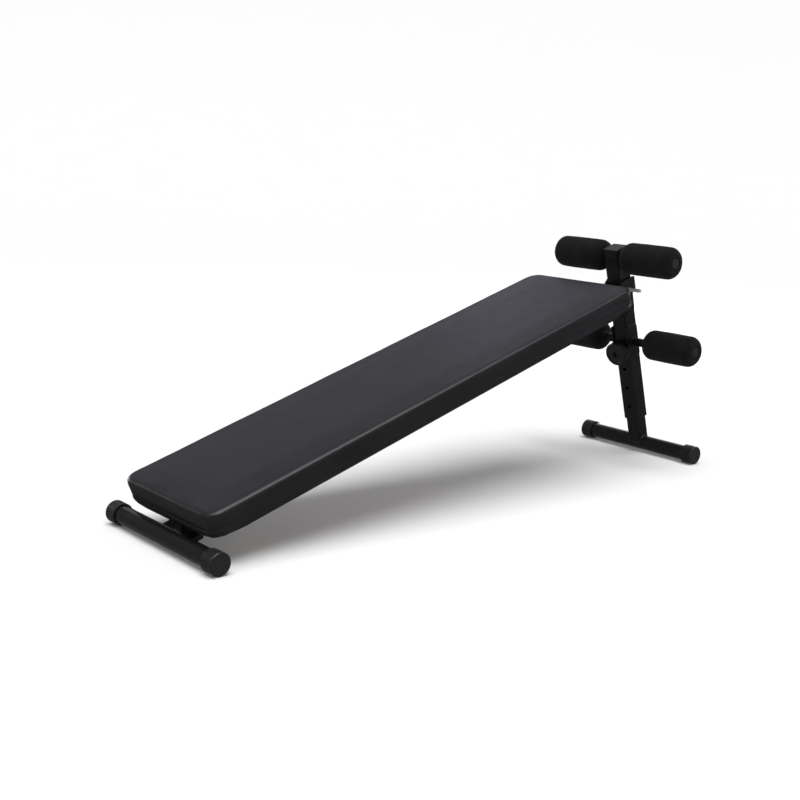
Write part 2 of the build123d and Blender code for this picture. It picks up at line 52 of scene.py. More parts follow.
# ---------------------------------------------------------------- the tilted frame
# The pad's top gives the slope: NORMAL is square to the pad, SLOPE runs up it.
PAD_MOUNT = next(m for m in RECORD["mounts"] if m["name"] == "pad_top")
NORMAL = Vector(PAD_MOUNT["axis"]).normalized()
SLOPE = Vector((0.0, NORMAL.z, -NORMAL.y))
SIDE = Vector((1.0, 0.0, 0.0))


def along(node, axis):
    """Lowest and highest value of a CAD node's vertices along an axis."""
    values = [v.co.dot(axis) for v in NODES[node].data.vertices]
    return min(values), max(values)


def middle(node, axis):
    low, high = along(node, axis)
    return (low + high) / 2


def half(node, axis):
    low, high = along(node, axis)
    return (high - low) / 2


def spot(side, up_slope, square):
    """Point at distances along SIDE, SLOPE and NORMAL from the origin."""
    return SIDE * side + SLOPE * up_slope + NORMAL * square


def tilted(origin):
    """Matrix from local (side, up the slope, square to the slope) to the row frame."""
    columns = (SIDE, SLOPE, NORMAL)
    rotation = Matrix([[c[i] for c in columns] for i in range(3)])
    return Matrix.Translation(origin) @ rotation.to_4x4()


BOARD_LOW, BOARD_HIGH = along("pad_board", NORMAL)
PAD_FRONT, PAD_BACK = along("pad_cushion", SLOPE)
PAD_TOP = along("pad_cushion", NORMAL)[1]
PAD_HALF = along("pad_cushion", SIDE)[1]
PAD_FRAME = tilted(SLOPE * PAD_FRONT + NORMAL * BOARD_LOW)
FOOT_LOW, FOOT_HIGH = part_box("rear_foot_tube")
FOOT_CENTRE = (FOOT_LOW + FOOT_HIGH) / 2
POST_FRAME = tilted(FOOT_CENTRE)

# ---------------------------------------------------------------- materials
EDGE_TURN = 0.08  # how far a normal turns at an edge that shows full wear and painted highlight


class Surface:
    """Small helper that grows one procedural material node by node."""

    def __init__(self, name):
        self.material = bpy.data.materials.new(name)
        self.material.use_nodes = True
        self.tree = self.material.node_tree
        self.shader = self.tree.nodes["Principled BSDF"]
        self.coords = self.tree.nodes.new("ShaderNodeTexCoord").outputs["Object"]
        self.normal = None
        self.colour = None

    def node(self, kind, **values):
        """New node; a value goes to the input of that name, or else to the node's setting."""
        made = self.tree.nodes.new(kind)
        for key, value in values.items():
            if key in made.inputs.keys():
                made.inputs[key].default_value = value
            else:
                setattr(made, key, value)
        return made

    def link(self, output, socket):
        self.tree.links.new(output, socket)

    def stretched(self, scale):
        mapping = self.node("ShaderNodeMapping", Scale=scale)
        self.link(self.coords, mapping.inputs["Vector"])
        return mapping.outputs["Vector"]

    def noise(self, scale, detail=2.0, rough=0.5, stretch=None):
        made = self.node("ShaderNodeTexNoise", Scale=scale, Detail=detail, Roughness=rough)
        self.link(self.stretched(stretch) if stretch else self.coords, made.inputs["Vector"])
        return made.outputs["Fac"]

    def cells(self, scale, softness):
        made = self.node("ShaderNodeTexVoronoi", feature="SMOOTH_F1", Scale=scale)
        made.inputs["Smoothness"].default_value = softness
        self.link(self.coords, made.inputs["Vector"])
        return made.outputs["Distance"]

    def span(self, value, low, high, from_low=0.3, from_high=0.7):
        """Stretches from_low..from_high of a value over low..high."""
        made = self.node("ShaderNodeMapRange")
        made.inputs["From Min"].default_value = from_low
        made.inputs["From Max"].default_value = from_high
        made.inputs["To Min"].default_value = low
        made.inputs["To Max"].default_value = high
        self.link(value, made.inputs["Value"])
        return made.outputs["Result"]

    def mix(self, factor, first, second):
        """Blends two colours; each is a tuple or a socket."""
        made = self.node("ShaderNodeMix", data_type="RGBA")
        self.link(factor, made.inputs["Factor"])
        for socket, value in ((made.inputs[6], first), (made.inputs[7], second)):
            if isinstance(value, tuple):
                socket.default_value = (*value, 1.0)
            else:
                self.link(value, socket)
        return made.outputs[2]

    def mottle(self, value, dark, light):
        """Base colour that drifts from dark to light with a value."""
        self.colour = self.mix(self.span(value, 0.0, 1.0), dark, light)

    def bevelled(self, radius):
        """Normal that is rounded off near edges."""
        bevel = self.node("ShaderNodeBevel", Radius=radius)
        bevel.samples = 4
        return bevel.outputs["Normal"]

    def edges(self, radius):
        """1 near a convex or concave edge of the solid and 0 on its faces."""
        dot = self.node("ShaderNodeVectorMath", operation="DOT_PRODUCT")
        self.link(self.bevelled(radius), dot.inputs[0])
        self.link(self.node("ShaderNodeNewGeometry").outputs["Normal"], dot.inputs[1])
        return self.span(dot.outputs["Value"], 1.0, 0.0, 1.0 - EDGE_TURN, 0.999)

    def grooves(self, reach):
        """1 on open faces and towards 0 down in narrow grooves; the mask of painted shade."""
        shade = self.node("ShaderNodeAmbientOcclusion", Distance=reach)
        shade.samples = 8
        shade.only_local = True
        return shade.outputs["AO"]

    def round_edges(self, radius):
        self.normal = self.bevelled(radius)

    def bump(self, height, strength, distance):
        made = self.node("ShaderNodeBump", Strength=strength, Distance=distance)
        self.link(height, made.inputs["Height"])
        if self.normal is not None:
            self.link(self.normal, made.inputs["Normal"])
        self.normal = made.outputs["Normal"]

    def finish(self, roughness, **sockets):
        """Joins it all to the shader; roughness is a number or a socket."""
        self.link(self.colour, self.shader.inputs["Base Color"])
        if isinstance(roughness, float):
            self.shader.inputs["Roughness"].default_value = roughness
        else:
            self.link(roughness, self.shader.inputs["Roughness"])
        if self.normal is not None:
            self.link(self.normal, self.shader.inputs["Normal"])
        for key, value in sockets.items():
            self.shader.inputs[key.replace("_", " ")].default_value = value
        return self.material


def vinyl_material():
    s = Surface("vinyl")
    s.mottle(s.noise(9.0, 3.0), (0.0092, 0.0088, 0.0104), (0.0125, 0.0120, 0.0141))
    s.bump(s.noise(170.0, 4.0, 0.6), 0.10, 0.6 * MM)  # fine creases
    s.bump(s.cells(620.0, 0.5), 0.22, 0.4 * MM)  # pebble grain
    return s.finish(s.span(s.noise(45.0, 3.0), 0.33, 0.38), Specular_IOR_Level=0.42)


def powder_material(name, dark, light, gloss, shine, coat=0.0):
    """Powder-coated steel, lighter along its edges from wear and a painted highlight; gloss is the roughness's
    range.
    """
    s = Surface(name)
    s.mottle(s.noise(14.0, 3.0), dark, light)
    # wear and painted highlight: near edges, convex and concave alike, the coat turns lighter grey in patches
    wear_and_highlight = s.node("ShaderNodeMath", operation="MULTIPLY")
    s.link(s.edges(1.2 * MM), wear_and_highlight.inputs[0])
    s.link(s.span(s.noise(160.0, 4.0), 0.0, 0.8, 0.42, 0.62), wear_and_highlight.inputs[1])
    s.colour = s.mix(wear_and_highlight.outputs["Value"], s.colour, (0.045, 0.045, 0.046))
    s.round_edges(0.6 * MM)
    s.bump(s.noise(900.0, 2.0), 0.12, 0.3 * MM)
    s.bump(s.noise(220.0, 2.0), 0.06, 0.6 * MM)
    rough = s.span(s.noise(70.0, 3.0), *gloss)
    return s.finish(rough, Coat_Weight=coat, Coat_Roughness=0.10, Specular_IOR_Level=shine)


def plastic_material(name, dark, light, gloss, grain, shine, shade_grooves=False):
    """Moulded plastic; the flag for ribs paints shade into the grooves between fine ribs."""
    s = Surface(name)
    s.mottle(s.noise(30.0, 3.0), dark, light)
    if shade_grooves:
        # painted shade: ambient occlusion darkens the grooves between the ribs to near black
        unshaded_faces = s.span(s.grooves(2.5 * MM), 0.0, 1.0, 0.45, 0.9)
        s.colour = s.mix(unshaded_faces, (0.0012, 0.0012, 0.0013), s.colour)
    s.round_edges(0.7 * MM)
    s.bump(s.noise(grain, 3.0, 0.6), 0.12, 0.2 * MM)
    return s.finish(s.span(s.noise(90.0, 2.0), *gloss), Specular_IOR_Level=shine)


def foam_material():
    s = Surface("roller_foam")
    s.mottle(s.noise(40.0, 4.0, 0.6), (0.0044, 0.0044, 0.0047), (0.0078, 0.0077, 0.0080))
    pores = s.span(s.cells(780.0, 0.35), 0.0, 1.0, 0.05, 0.5)
    s.bump(s.noise(210.0, 5.0, 0.65), 0.30, 1.0 * MM)
    s.bump(pores, 0.35, 0.5 * MM)
    rough = s.span(s.noise(300.0, 2.0), 0.78, 0.92)
    return s.finish(rough, Sheen_Weight=0.03, Sheen_Roughness=0.5, Specular_IOR_Level=0.10)


def zinc_material():
    s = Surface("zinc")
    s.mottle(s.noise(120.0, 4.0), (0.66, 0.67, 0.67), (0.84, 0.84, 0.81))
    s.round_edges(0.4 * MM)
    s.bump(s.noise(1400.0, 2.0), 0.08, 0.2 * MM)
    return s.finish(s.span(s.noise(150.0, 3.0), 0.26, 0.40), Metallic=0.55)


def wood_material():
    s = Surface("plywood")
    grain = s.noise(38.0, 6.0, 0.6, stretch=(7.0, 0.5, 0.5))
    s.mottle(grain, (0.115, 0.072, 0.038), (0.21, 0.145, 0.085))
    s.bump(grain, 0.25, 0.6 * MM)
    return s.finish(s.span(grain, 0.62, 0.8))


def nylon_material():
    s = Surface("nylon")
    s.mottle(s.noise(60.0), (0.08, 0.08, 0.08), (0.13, 0.13, 0.13))
    s.bump(s.noise(500.0), 0.05, 0.2 * MM)
    return s.finish(s.span(s.noise(90.0), 0.42, 0.55))


MATERIALS = {
    "pad_vinyl": vinyl_material(),
    "pad_board": wood_material(),
    "frame_steel": powder_material(
        "frame_powder_coat", (0.0042, 0.0042, 0.0046), (0.0076, 0.0076, 0.0080),
        gloss=(0.28, 0.36), shine=0.42,
    ),
    "foot_steel": powder_material(
        "foot_powder_coat", (0.0050, 0.0050, 0.0054), (0.0075, 0.0075, 0.0078),
        gloss=(0.14, 0.20), shine=0.25, coat=0.6,
    ),
    "end_cap_plastic": plastic_material(
        "end_cap_plastic", (0.0110, 0.0110, 0.0115), (0.0145, 0.0145, 0.015),
        gloss=(0.28, 0.34), grain=800.0, shine=0.65, shade_grooves=True,
    ),
    "top_cap_plastic": plastic_material(
        "top_cap_plastic", (0.0035, 0.0035, 0.0038), (0.0060, 0.0060, 0.0063),
        gloss=(0.36, 0.44), grain=800.0, shine=0.6,
    ),
    "roller_foam": foam_material(),
    "plug_plastic": plastic_material(
        "plug_plastic", (0.0105, 0.0105, 0.011), (0.0155, 0.0155, 0.016),
        gloss=(0.36, 0.46), grain=900.0, shine=0.45,
    ),
    "nylon": nylon_material(),
    "knob_plastic": plastic_material(
        "knob_plastic", (0.0080, 0.0080, 0.0084), (0.0115, 0.0115, 0.012),
        gloss=(0.26, 0.32), grain=700.0, shine=0.6, shade_grooves=True,
    ),
    "zinc_hardware": zinc_material(),
    "black_hardware": powder_material(
        "black_zinc", (0.010, 0.010, 0.0105), (0.018, 0.018, 0.0185),
        gloss=(0.28, 0.40), shine=0.6,
    ),
}

for row in RECORD["subparts"]:
    node = NODES[row["node"]]
    node.data.materials.clear()
    node.data.materials.append(MATERIALS[row["material_slot"]])

# ---------------------------------------------------------------- mesh helpers


def smooth_faces(mesh):
    mesh.polygons.foreach_set("use_smooth", [True] * len(mesh.polygons))


def new_mesh(name, bm):
    """Object with a bmesh's faces, turned outward, in the scene."""
    mesh = bpy.data.meshes.new(name)
    bmesh.ops.recalc_face_normals(bm, faces=bm.faces[:])
    bm.to_mesh(mesh)
    bm.free()
    made = bpy.data.objects.new(name, mesh)
    bpy.context.scene.collection.objects.link(made)
    return made


def new_piece(name, bm, body, slot):
    """Smooth piece of the object that rides on a body."""
    made = new_mesh(name, bm)
    smooth_faces(made.data)
    made.data.materials.append(MATERIALS[slot])
    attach(made, body)
    return made


def bridge(bm, first, second):
    """Quads between two rings of the same length."""
    count = len(first)
    for i in range(count):
        j = (i + 1) % count
        bm.faces.new((first[i], first[j], second[j], second[i]))


def smooth(value, low, high):
    """0 up to low, 1 from high, and an S curve between them."""
    t = min(max((value - low) / (high - low), 0.0), 1.0)
    return t * t * (3 - 2 * t)


# ---------------------------------------------------------------- pad

PAD_LENGTH = PAD_BACK - PAD_FRONT
PAD_HEIGHT = PAD_TOP - BOARD_LOW
BOARD_EDGE = BOARD_HIGH - BOARD_LOW
# (inset, height) of the pad's side in mm, from the board's underside to the flat top
PAD_PROFILE = (
    (4.4, 0.0), (2.9, 1.0), (2.7, 6.0), (2.7, 12.0), (2.1, 16.5), (1.3, 22.0), (0.6, 28.0),
    (0.3, 34.0), (0.7, 37.8), (2.3, 40.7), (5.0, 42.0), (9.5, 42.4),
)
PAD_CORNER = 31 * MM
CORNER_LEAST = 4 * MM
CORNER_STEPS = 14
OUTLINE_STEP = 30 * MM  # longest stretch between points of the pad's outline
PAD_SHRINK = 0.5 * MM  # room for the swelling
PAD_VOXEL = 4.0 * MM
CLOTH_FRAMES = 20
EDGE_GIVE = 0.6 * MM  # furthest that the simulation may move the cover at the pad's edges
MIDDLE_GIVE = 2.6 * MM  # and over the middle of its top
GIVE_EASE = (8 * MM, 70 * MM)  # distances from the edge over which one becomes the other
WRAP_EASE = 12.0 * MM  # height over which the cover goes from tight to loose
WAVE = 0.45 * MM  # slack of the cover along its edges
SLACK_FADE = (10 * MM, 45 * MM)  # distances from the edge over which it goes
LIP_DROP = 3.2 * MM  # folded cover below the board's long edges
LIP_FADE = (10 * MM, 28 * MM)  # distances from the edge over which it ends
LIP_CORNERS = (18 * MM, 70 * MM)  # distances from a corner over which it starts
LIP_HEIGHT = 4 * MM  # how far above the board it still pulls the cover down
WRAP_WIDTH = 34 * MM  # vinyl turned under the board
WRAP_DROP = 0.9 * MM
UNDERSIDE = 1.5 * MM  # what lies lower than this is the cover's underside
TUCKED = 3 * MM  # height inside the board of the underside that doesn't show
CREASE_REACH = 4.0 * MM
CREASE_DEPTH = 0.9 * MM


def from_edge(co):
    """Distance from the nearest side of the pad, in plan."""
    return min(PAD_HALF - abs(co.x), co.y, PAD_LENGTH - co.y)


def pad_give(co):
    """How far the simulation may move a point of the cover."""
    return EDGE_GIVE + (MIDDLE_GIVE - EDGE_GIVE) * smooth(from_edge(co), *GIVE_EASE)


def pad_outline(inset):
    """Points round the pad in plan, its corners rounded, drawn in by inset."""
    radius = max(PAD_CORNER - inset, CORNER_LEAST)
    x_far = PAD_HALF - inset
    low, high = inset, PAD_LENGTH - inset
    corners = ((x_far, low, -90), (x_far, high, 0), (-x_far, high, 90), (-x_far, low, 180))
    points = []
    for x, y, start in corners:
        centre = Vector((x - math.copysign(radius, x), y + (radius if y == low else -radius)))
        for k in range(CORNER_STEPS + 1):
            angle = math.radians(start + 90 * k / CORNER_STEPS)
            points.append(centre + Vector((math.cos(angle), math.sin(angle))) * radius)
    filled = []
    for i, point in enumerate(points):
        following = points[(i + 1) % len(points)]
        steps = max(1, round((following - point).length / OUTLINE_STEP))
        filled += [point.lerp(following, k / steps) for k in range(steps)]
    return filled


def pad_blank():
    """Closed starting shape of the stuffed pad in pad coordinates."""
    top = PAD_HEIGHT - PAD_SHRINK
    profile_top = PAD_PROFILE[-1][1]
    bm = bmesh.new()
    rings = []
    for inset, height in PAD_PROFILE:
        loose = smooth(height * MM, BOARD_EDGE, BOARD_EDGE + WRAP_EASE)
        outline = pad_outline(inset * MM + PAD_SHRINK * loose)
        rings.append([bm.verts.new((p.x, p.y, height / profile_top * top)) for p in outline])
    for first, second in zip(rings, rings[1:]):
        bridge(bm, first, second)
    bm.faces.new(rings[0])
    bm.faces.new(rings[-1])
    return new_mesh("pad_blank", bm)


def apply_modifiers(obj):
    graph = bpy.context.evaluated_depsgraph_get()
    graph.update()
    mesh = bpy.data.meshes.new_from_object(obj.evaluated_get(graph))
    obj.modifiers.clear()
    obj.data = mesh


def swell(obj, held, cap):
    """Inflates a closed mesh as pressurised cloth; cap(point) is how far it may move."""
    scene = bpy.context.scene
    rest = [v.co.copy() for v in obj.data.vertices]
    group = obj.vertex_groups.new(name="held")
    group.add([i for i, co in enumerate(rest) if held(co)], 1.0, "REPLACE")
    cloth = obj.modifiers.new("swell", "CLOTH")
    settings = cloth.settings
    settings.quality = 4
    settings.mass = 0.3
    settings.vertex_group_mass = "held"
    settings.use_pressure = True
    settings.uniform_pressure_force = 4.0
    settings.tension_stiffness = 20
    settings.compression_stiffness = 20
    settings.shear_stiffness = 12
    settings.bending_stiffness = 1.5
    settings.effector_weights.gravity = 0
    cloth.point_cache.frame_start = 1
    cloth.point_cache.frame_end = CLOTH_FRAMES
    scene.frame_start = 1
    scene.frame_end = CLOTH_FRAMES
    for number in range(1, CLOTH_FRAMES + 1):
        scene.frame_set(number)
    apply_modifiers(obj)
    scene.frame_set(1)
    for vertex, start in zip(obj.data.vertices, rest):
        shift = vertex.co - start
        limit = cap(start)
        if shift.length > limit:
            vertex.co = start + shift.normalized() * limit


def creased(co):
    """The point, pulled in if it is near the board's upper edge."""
    near = 1 - abs(co.z - BOARD_EDGE) / CREASE_REACH
    outward = Vector((0.0, 0.0, 0.0))
    if near > 0 and abs(co.x) > PAD_HALF - PAD_CORNER:
        outward.x = math.copysign(1.0, co.x)
    if near > 0 and abs(co.y - PAD_LENGTH / 2) > PAD_LENGTH / 2 - PAD_CORNER:
        outward.y = math.copysign(1.0, co.y - PAD_LENGTH / 2)
    if outward.length == 0:
        return co
    return co - outward.normalized() * CREASE_DEPTH * smooth(near, 0.0, 1.0)


def slack(co):
    """1 where the cover is loose, along the upper edges, and 0 where it is tight."""
    return smooth(co.z, BOARD_EDGE, PAD_HEIGHT / 2) * (1 - smooth(from_edge(co), *SLACK_FADE))


def wave(co):
    """A long wave with a shorter one on it, between about -1.5 and 1.5."""
    return noise.noise(Vector((co.x * 9, co.y * 13, 0.4))) + 0.5 * noise.noise(co * 34)


def lip(co):
    """How far the folded cover hangs below the board; nothing at the corners."""
    past_corner = max(PAD_HALF - abs(co.x), min(co.y, PAD_LENGTH - co.y))
    drop = LIP_DROP * smooth(past_corner, *LIP_CORNERS)
    drop *= 1 - smooth(from_edge(co), *LIP_FADE)
    return drop * (1 - smooth(co.z, 0.0, BOARD_EDGE + LIP_HEIGHT))


def finish_cover(pad):
    """Crease, slack edges, the turned-under border and the folded lip of the cover."""
    normals = [vertex.normal.copy() for vertex in pad.data.vertices]
    for vertex, normal in zip(pad.data.vertices, normals):
        co = creased(vertex.co.copy())
        loose = slack(co)
        if loose > 0:
            co += normal * WAVE * loose * wave(co)
        if co.z < UNDERSIDE:
            co.z = TUCKED if from_edge(co) > WRAP_WIDTH else -WRAP_DROP
        co.z -= lip(co)
        vertex.co = co


def make_pad():
    pad = pad_blank()
    remesh = pad.modifiers.new("even", "REMESH")
    remesh.mode = "VOXEL"
    remesh.voxel_size = PAD_VOXEL
    apply_modifiers(pad)
    swell(pad, lambda co: co.z < BOARD_EDGE, pad_give)
    finer = pad.modifiers.new("finer", "SUBSURF")
    finer.levels = 1
    finer.render_levels = 1
    apply_modifiers(pad)
    finish_cover(pad)
    pad.data.transform(PAD_FRAME)
    pad.name = "pad_cover"
    pad.data.name = "pad_cover"
    smooth_faces(pad.data)
    pad.data.materials.clear()
    pad.data.materials.append(MATERIALS["pad_vinyl"])
    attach(pad, "bench")
    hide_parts("pad_cushion")


make_pad()

# ---------------------------------------------------------------- foam rollers

ROLLER_SIDES = 112
ROLLER_CLEAR = 0.2 * MM  # how far the foam stays inside its CAD solid
ROLLER_BORE = 9.55 * MM
INNER_ROUND = 19.0 * MM
OUTER_ROUND = 18.0 * MM
CROWN = 0.35 * MM  # how much thicker a roller is at its middle
RECESS_RADIUS = 13.0 * MM
RECESS_DEPTH = 4.5 * MM
RECESS_RIM = 2.6 * MM
BODY_STEPS = 36
BORE_STEPS = 10
RIPPLE = 0.28 * MM
RIPPLE_FROM = 14 * MM  # the foam is plain nearer its axis than this


def turned(bm, profile, place, seed):
    """Rippled solid of revolution about local X. profile is a list of (x, radius)."""
    rings = []
    for x, radius in profile:
        ring = []
        for k in range(ROLLER_SIDES):
            angle = 2 * math.pi * k / ROLLER_SIDES
            co = Vector((x, math.cos(angle) * radius, math.sin(angle) * radius))
            if radius > RIPPLE_FROM:
                push = noise.noise(co * 38.0 + Vector((seed, seed, seed)))
                push += 0.5 * noise.noise(co * 110.0 + Vector((seed, 0.0, seed)))
                co.y *= 1 + RIPPLE * push / radius
                co.z *= 1 + RIPPLE * push / radius
            ring.append(bm.verts.new(place @ co))
        rings.append(ring)
    for first, second in zip(rings, rings[1:] + rings[:1]):
        bridge(bm, first, second)


def arc(x, height, radius, start, end, steps):
    """Points of a profile arc, angles in degrees from +X towards +radius."""
    points = []
    for k in range(steps + 1):
        angle = math.radians(start + (end - start) * k / steps)
        points.append((x + math.cos(angle) * radius, height + math.sin(angle) * radius))
    return points


def make_roller(node, joint_name, seed):
    low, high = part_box(node)
    side = 1 if high.x > 0 else -1
    centre = Vector(JOINTS[joint_name]["pos_m"])
    inner = min(abs(low.x), abs(high.x))
    outer = max(abs(low.x), abs(high.x))
    radius = (high.z - low.z) / 2 - ROLLER_CLEAR
    profile = [(inner, ROLLER_BORE), (inner, (radius - INNER_ROUND + ROLLER_BORE) / 2)]
    profile += arc(inner + INNER_ROUND, radius - INNER_ROUND, INNER_ROUND, 180, 90, 10)
    for k in range(1, BODY_STEPS):
        t = k / BODY_STEPS
        x = inner + INNER_ROUND + (outer - OUTER_ROUND - inner - INNER_ROUND) * t
        profile.append((x, radius + CROWN * math.sin(math.pi * t)))
    profile += arc(outer - OUTER_ROUND, radius - OUTER_ROUND, OUTER_ROUND, 90, 8, 10)
    profile += arc(outer - RECESS_RIM, RECESS_RADIUS + RECESS_RIM, RECESS_RIM, 30, -80, 6)
    bottom = outer - RECESS_DEPTH
    profile += [(bottom, RECESS_RADIUS), (bottom, ROLLER_BORE)]
    for k in range(1, BORE_STEPS):
        profile.append((bottom + (inner - bottom) * k / BORE_STEPS, ROLLER_BORE))
    place = Matrix.Translation((0.0, centre.y, centre.z)) @ Matrix.Diagonal((side, 1, 1, 1))
    bm = bmesh.new()
    turned(bm, profile, place, seed)
    made = new_piece(node + "_foam", bm, JOINTS[joint_name]["child"], "roller_foam")
    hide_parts(node)


for level, side_name, seed in (
    ("upper", "left", 3.1), ("upper", "right", 7.7), ("lower", "left", 14.1), ("lower", "right", 18.7),
):
    make_roller(f"{level}_roller_{side_name}", f"{level}_{side_name}_roller_turn", seed)

# ---------------------------------------------------------------- weld beads

BEAD_STEP = 0.45 * MM
BEAD_RIPPLE = 2.2 * MM  # from one ripple of a bead to the next
BEAD_SIDES = 8


def ring_tube(bm, points, radius_at, closed):
    """Tube along points in space, with a radius that may change on the way."""
    rings = []
    count = len(points)
    for i, point in enumerate(points):
        if closed:
            tangent = points[(i + 1) % count] - points[i - 1]
        else:
            tangent = points[min(i + 1, count - 1)] - points[max(i - 1, 0)]
        tangent.normalize()
        helper = NORMAL if abs(tangent.dot(NORMAL)) < 0.9 else SLOPE
        across = tangent.cross(helper).normalized()
        over = across.cross(tangent)
        radius = radius_at(i)
        ring = []
        for k in range(BEAD_SIDES):
            angle = 2 * math.pi * k / BEAD_SIDES
            outward = across * math.cos(angle) + over * math.sin(angle)
            ring.append(bm.verts.new(point + outward * radius))
        rings.append(ring)
    for first, second in zip(rings, rings[1:]):
        bridge(bm, first, second)
    if closed:
        bridge(bm, rings[-1], rings[0])
    else:
        bm.faces.new(rings[0])
        bm.faces.new(rings[-1])


def bead(name, paths, body, width):
    """Rows of overlapping weld ripples, as one piece. paths is a list of (points, closed)."""

    def radius_at(i):
        phase = (i * BEAD_STEP / BEAD_RIPPLE) % 1.0
        rise = 0.82 + 0.18 * math.sin(math.pi * phase) ** 0.6
        return width * rise * (1 + 0.08 * noise.noise(Vector((i * 0.07, width * 900, 0.3))))

    bm = bmesh.new()
    for points, closed in paths:
        dense = []
        count = len(points)
        for i in range(count if closed else count - 1):
            first, second = points[i], points[(i + 1) % count]
            steps = max(1, round((second - first).length / BEAD_STEP))
            dense += [first.lerp(second, k / steps) for k in range(steps)]
        if not closed:
            dense.append(points[-1])
        ring_tube(bm, dense, radius_at, closed)
    new_piece(name, bm, body, "frame_steel")


def post_point(side, back, height):
    return POST_FRAME @ Vector((side, back, height))


def circle_path(centre, u, v, radius):
    """Closed path round a centre in the plane of u and v."""
    angles = [2 * math.pi * k / 36 for k in range(36)]
    return [centre + (u * math.cos(a) + v * math.sin(a)) * radius for a in angles], True


# the leg on the rear foot tube: a saddle line over the tube on both sides
FOOT_R = (FOOT_HIGH.z - FOOT_LOW.z) / 2
LEG_HALF = half("inner_leg_tube", SIDE)
SADDLE_STEPS = 12
saddle = []
for k in range(SADDLE_STEPS + 1):
    back = -LEG_HALF + 2 * LEG_HALF * k / SADDLE_STEPS
    saddle.append(post_point(LEG_HALF, back, math.sqrt(FOOT_R**2 - back**2)))
saddle += [Vector((-p.x, p.y, p.z)) for p in reversed(saddle)]
bead("weld_rear_foot", [(saddle, True)], "leg", 2.6 * MM)

# the lower crossbar in its plates, and the plates on the post
lower_axis = Vector(JOINTS["lower_left_roller_turn"]["pos_m"])
bar_r = half("upper_crossbar", NORMAL)
plate_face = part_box("crossbar_plate_right")[1].x
bead("weld_lower_crossbar", [
    circle_path(Vector((x, lower_axis.y, lower_axis.z)), SLOPE, NORMAL, bar_r + 0.6 * MM)
    for x in (-plate_face, plate_face)
], "post", 1.6 * MM)

POST_HALF = half("post_tube", SIDE)
PLATE_BEAD = 13 * MM  # half the length of a bead along a plate's edge
base_height = FOOT_CENTRE.dot(NORMAL)
plate_lines = []
for x in (-POST_HALF, POST_HALF):
    for level in along("crossbar_plate_right", NORMAL):
        height = level - base_height
        line = [post_point(x, -PLATE_BEAD, height), post_point(x, PLATE_BEAD, height)]
        plate_lines.append((line, False))
bead("weld_crossbar_plates", plate_lines, "post", 1.7 * MM)

# the knob's bushing and the nut behind it, on the post
knob_level = middle("knob_bushing", NORMAL) - base_height
bushing_centre = post_point(0.0, -POST_HALF, knob_level)
nut_centre = post_point(0.0, POST_HALF, knob_level)
bead("weld_knob_bushing", [
    circle_path(bushing_centre, SIDE, NORMAL, half("knob_bushing", SIDE)),
    circle_path(nut_centre, SIDE, NORMAL, half("rear_weld_nut", NORMAL)),
], "post", 1.5 * MM)

# the straps on the beam; the beads end short of their corners
BEAD_SHORT = 3 * MM
beam_x = half("main_beam", SIDE)
beam_low, beam_high = along("main_beam", NORMAL)
strap_lines = []
for strap in ("pad_strap_front", "pad_strap_rear"):
    start, end = along(strap, SLOPE)
    for x in (-beam_x, beam_x):
        level = beam_high - 0.4 * MM
        line = [spot(x, start + BEAD_SHORT, level), spot(x, end - BEAD_SHORT, level)]
        strap_lines.append((line, False))
bead("weld_straps", strap_lines, "bench", 1.5 * MM)

# the hinge cheeks and the front plate on the beam; their beads lie a little outside its sides
beam_sides = (-beam_x - 0.3 * MM, beam_x + 0.3 * MM)
cheek_start = along("hinge_cheek_right", SLOPE)[0]
cheek_lines = []
for x in beam_sides:
    cheek_lines.append(([
        spot(x, cheek_start, beam_low + BEAD_SHORT),
        spot(x, cheek_start, beam_high - BEAD_SHORT),
    ], False))
    cheek_lines.append(([
        spot(x, cheek_start + 4 * MM, beam_low + 0.2 * MM),
        spot(x, cheek_start + 34 * MM, beam_low + 0.2 * MM),
    ], False))
bead("weld_hinge_cheeks", cheek_lines, "bench", 1.8 * MM)

# the tab on the front foot tube: where the tab's underside meets the tube
front_low, front_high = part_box("front_foot_tube")
front_centre = (front_low + front_high) / 2
front_r = (front_high.z - front_low.z) / 2
tab_x = half("foot_tab", SIDE) - 4 * MM
tab_under = along("foot_tab", NORMAL)[0]
tab_drop = tab_under - front_centre.dot(NORMAL)
tab_end = front_centre.dot(SLOPE) + math.sqrt(max(front_r**2 - tab_drop**2, 0.0))
tab_line = [spot(-tab_x, tab_end, tab_under), spot(tab_x, tab_end, tab_under)]
bead("weld_front_foot", [(tab_line, False)], "bench", 2.0 * MM)

beam_start = along("main_beam", SLOPE)[0]
plate_end = along("front_plate", SLOPE)[1]
bead("weld_front_plate", [
    ([
        spot(x, beam_start + 4 * MM, beam_low + 0.4 * MM),
        spot(x, plate_end - 4 * MM, beam_low + 0.4 * MM),
    ], False)
    for x in beam_sides
], "bench", 1.9 * MM)

# ---------------------------------------------------------------- stage, light and camera

FLOOR_FLAT = (0.6, 2.0, 3.5, 5.0)  # radii of the rings of the flat middle
FLOOR_CURVE = 8.0  # width of the ring that bends up
FLOOR_STEPS = 14
FLOOR_CLIMB = 28.0  # steepest slope of the rim, in degrees
FLOOR_EDGE = 40.0
FLOOR_SIDES = 96


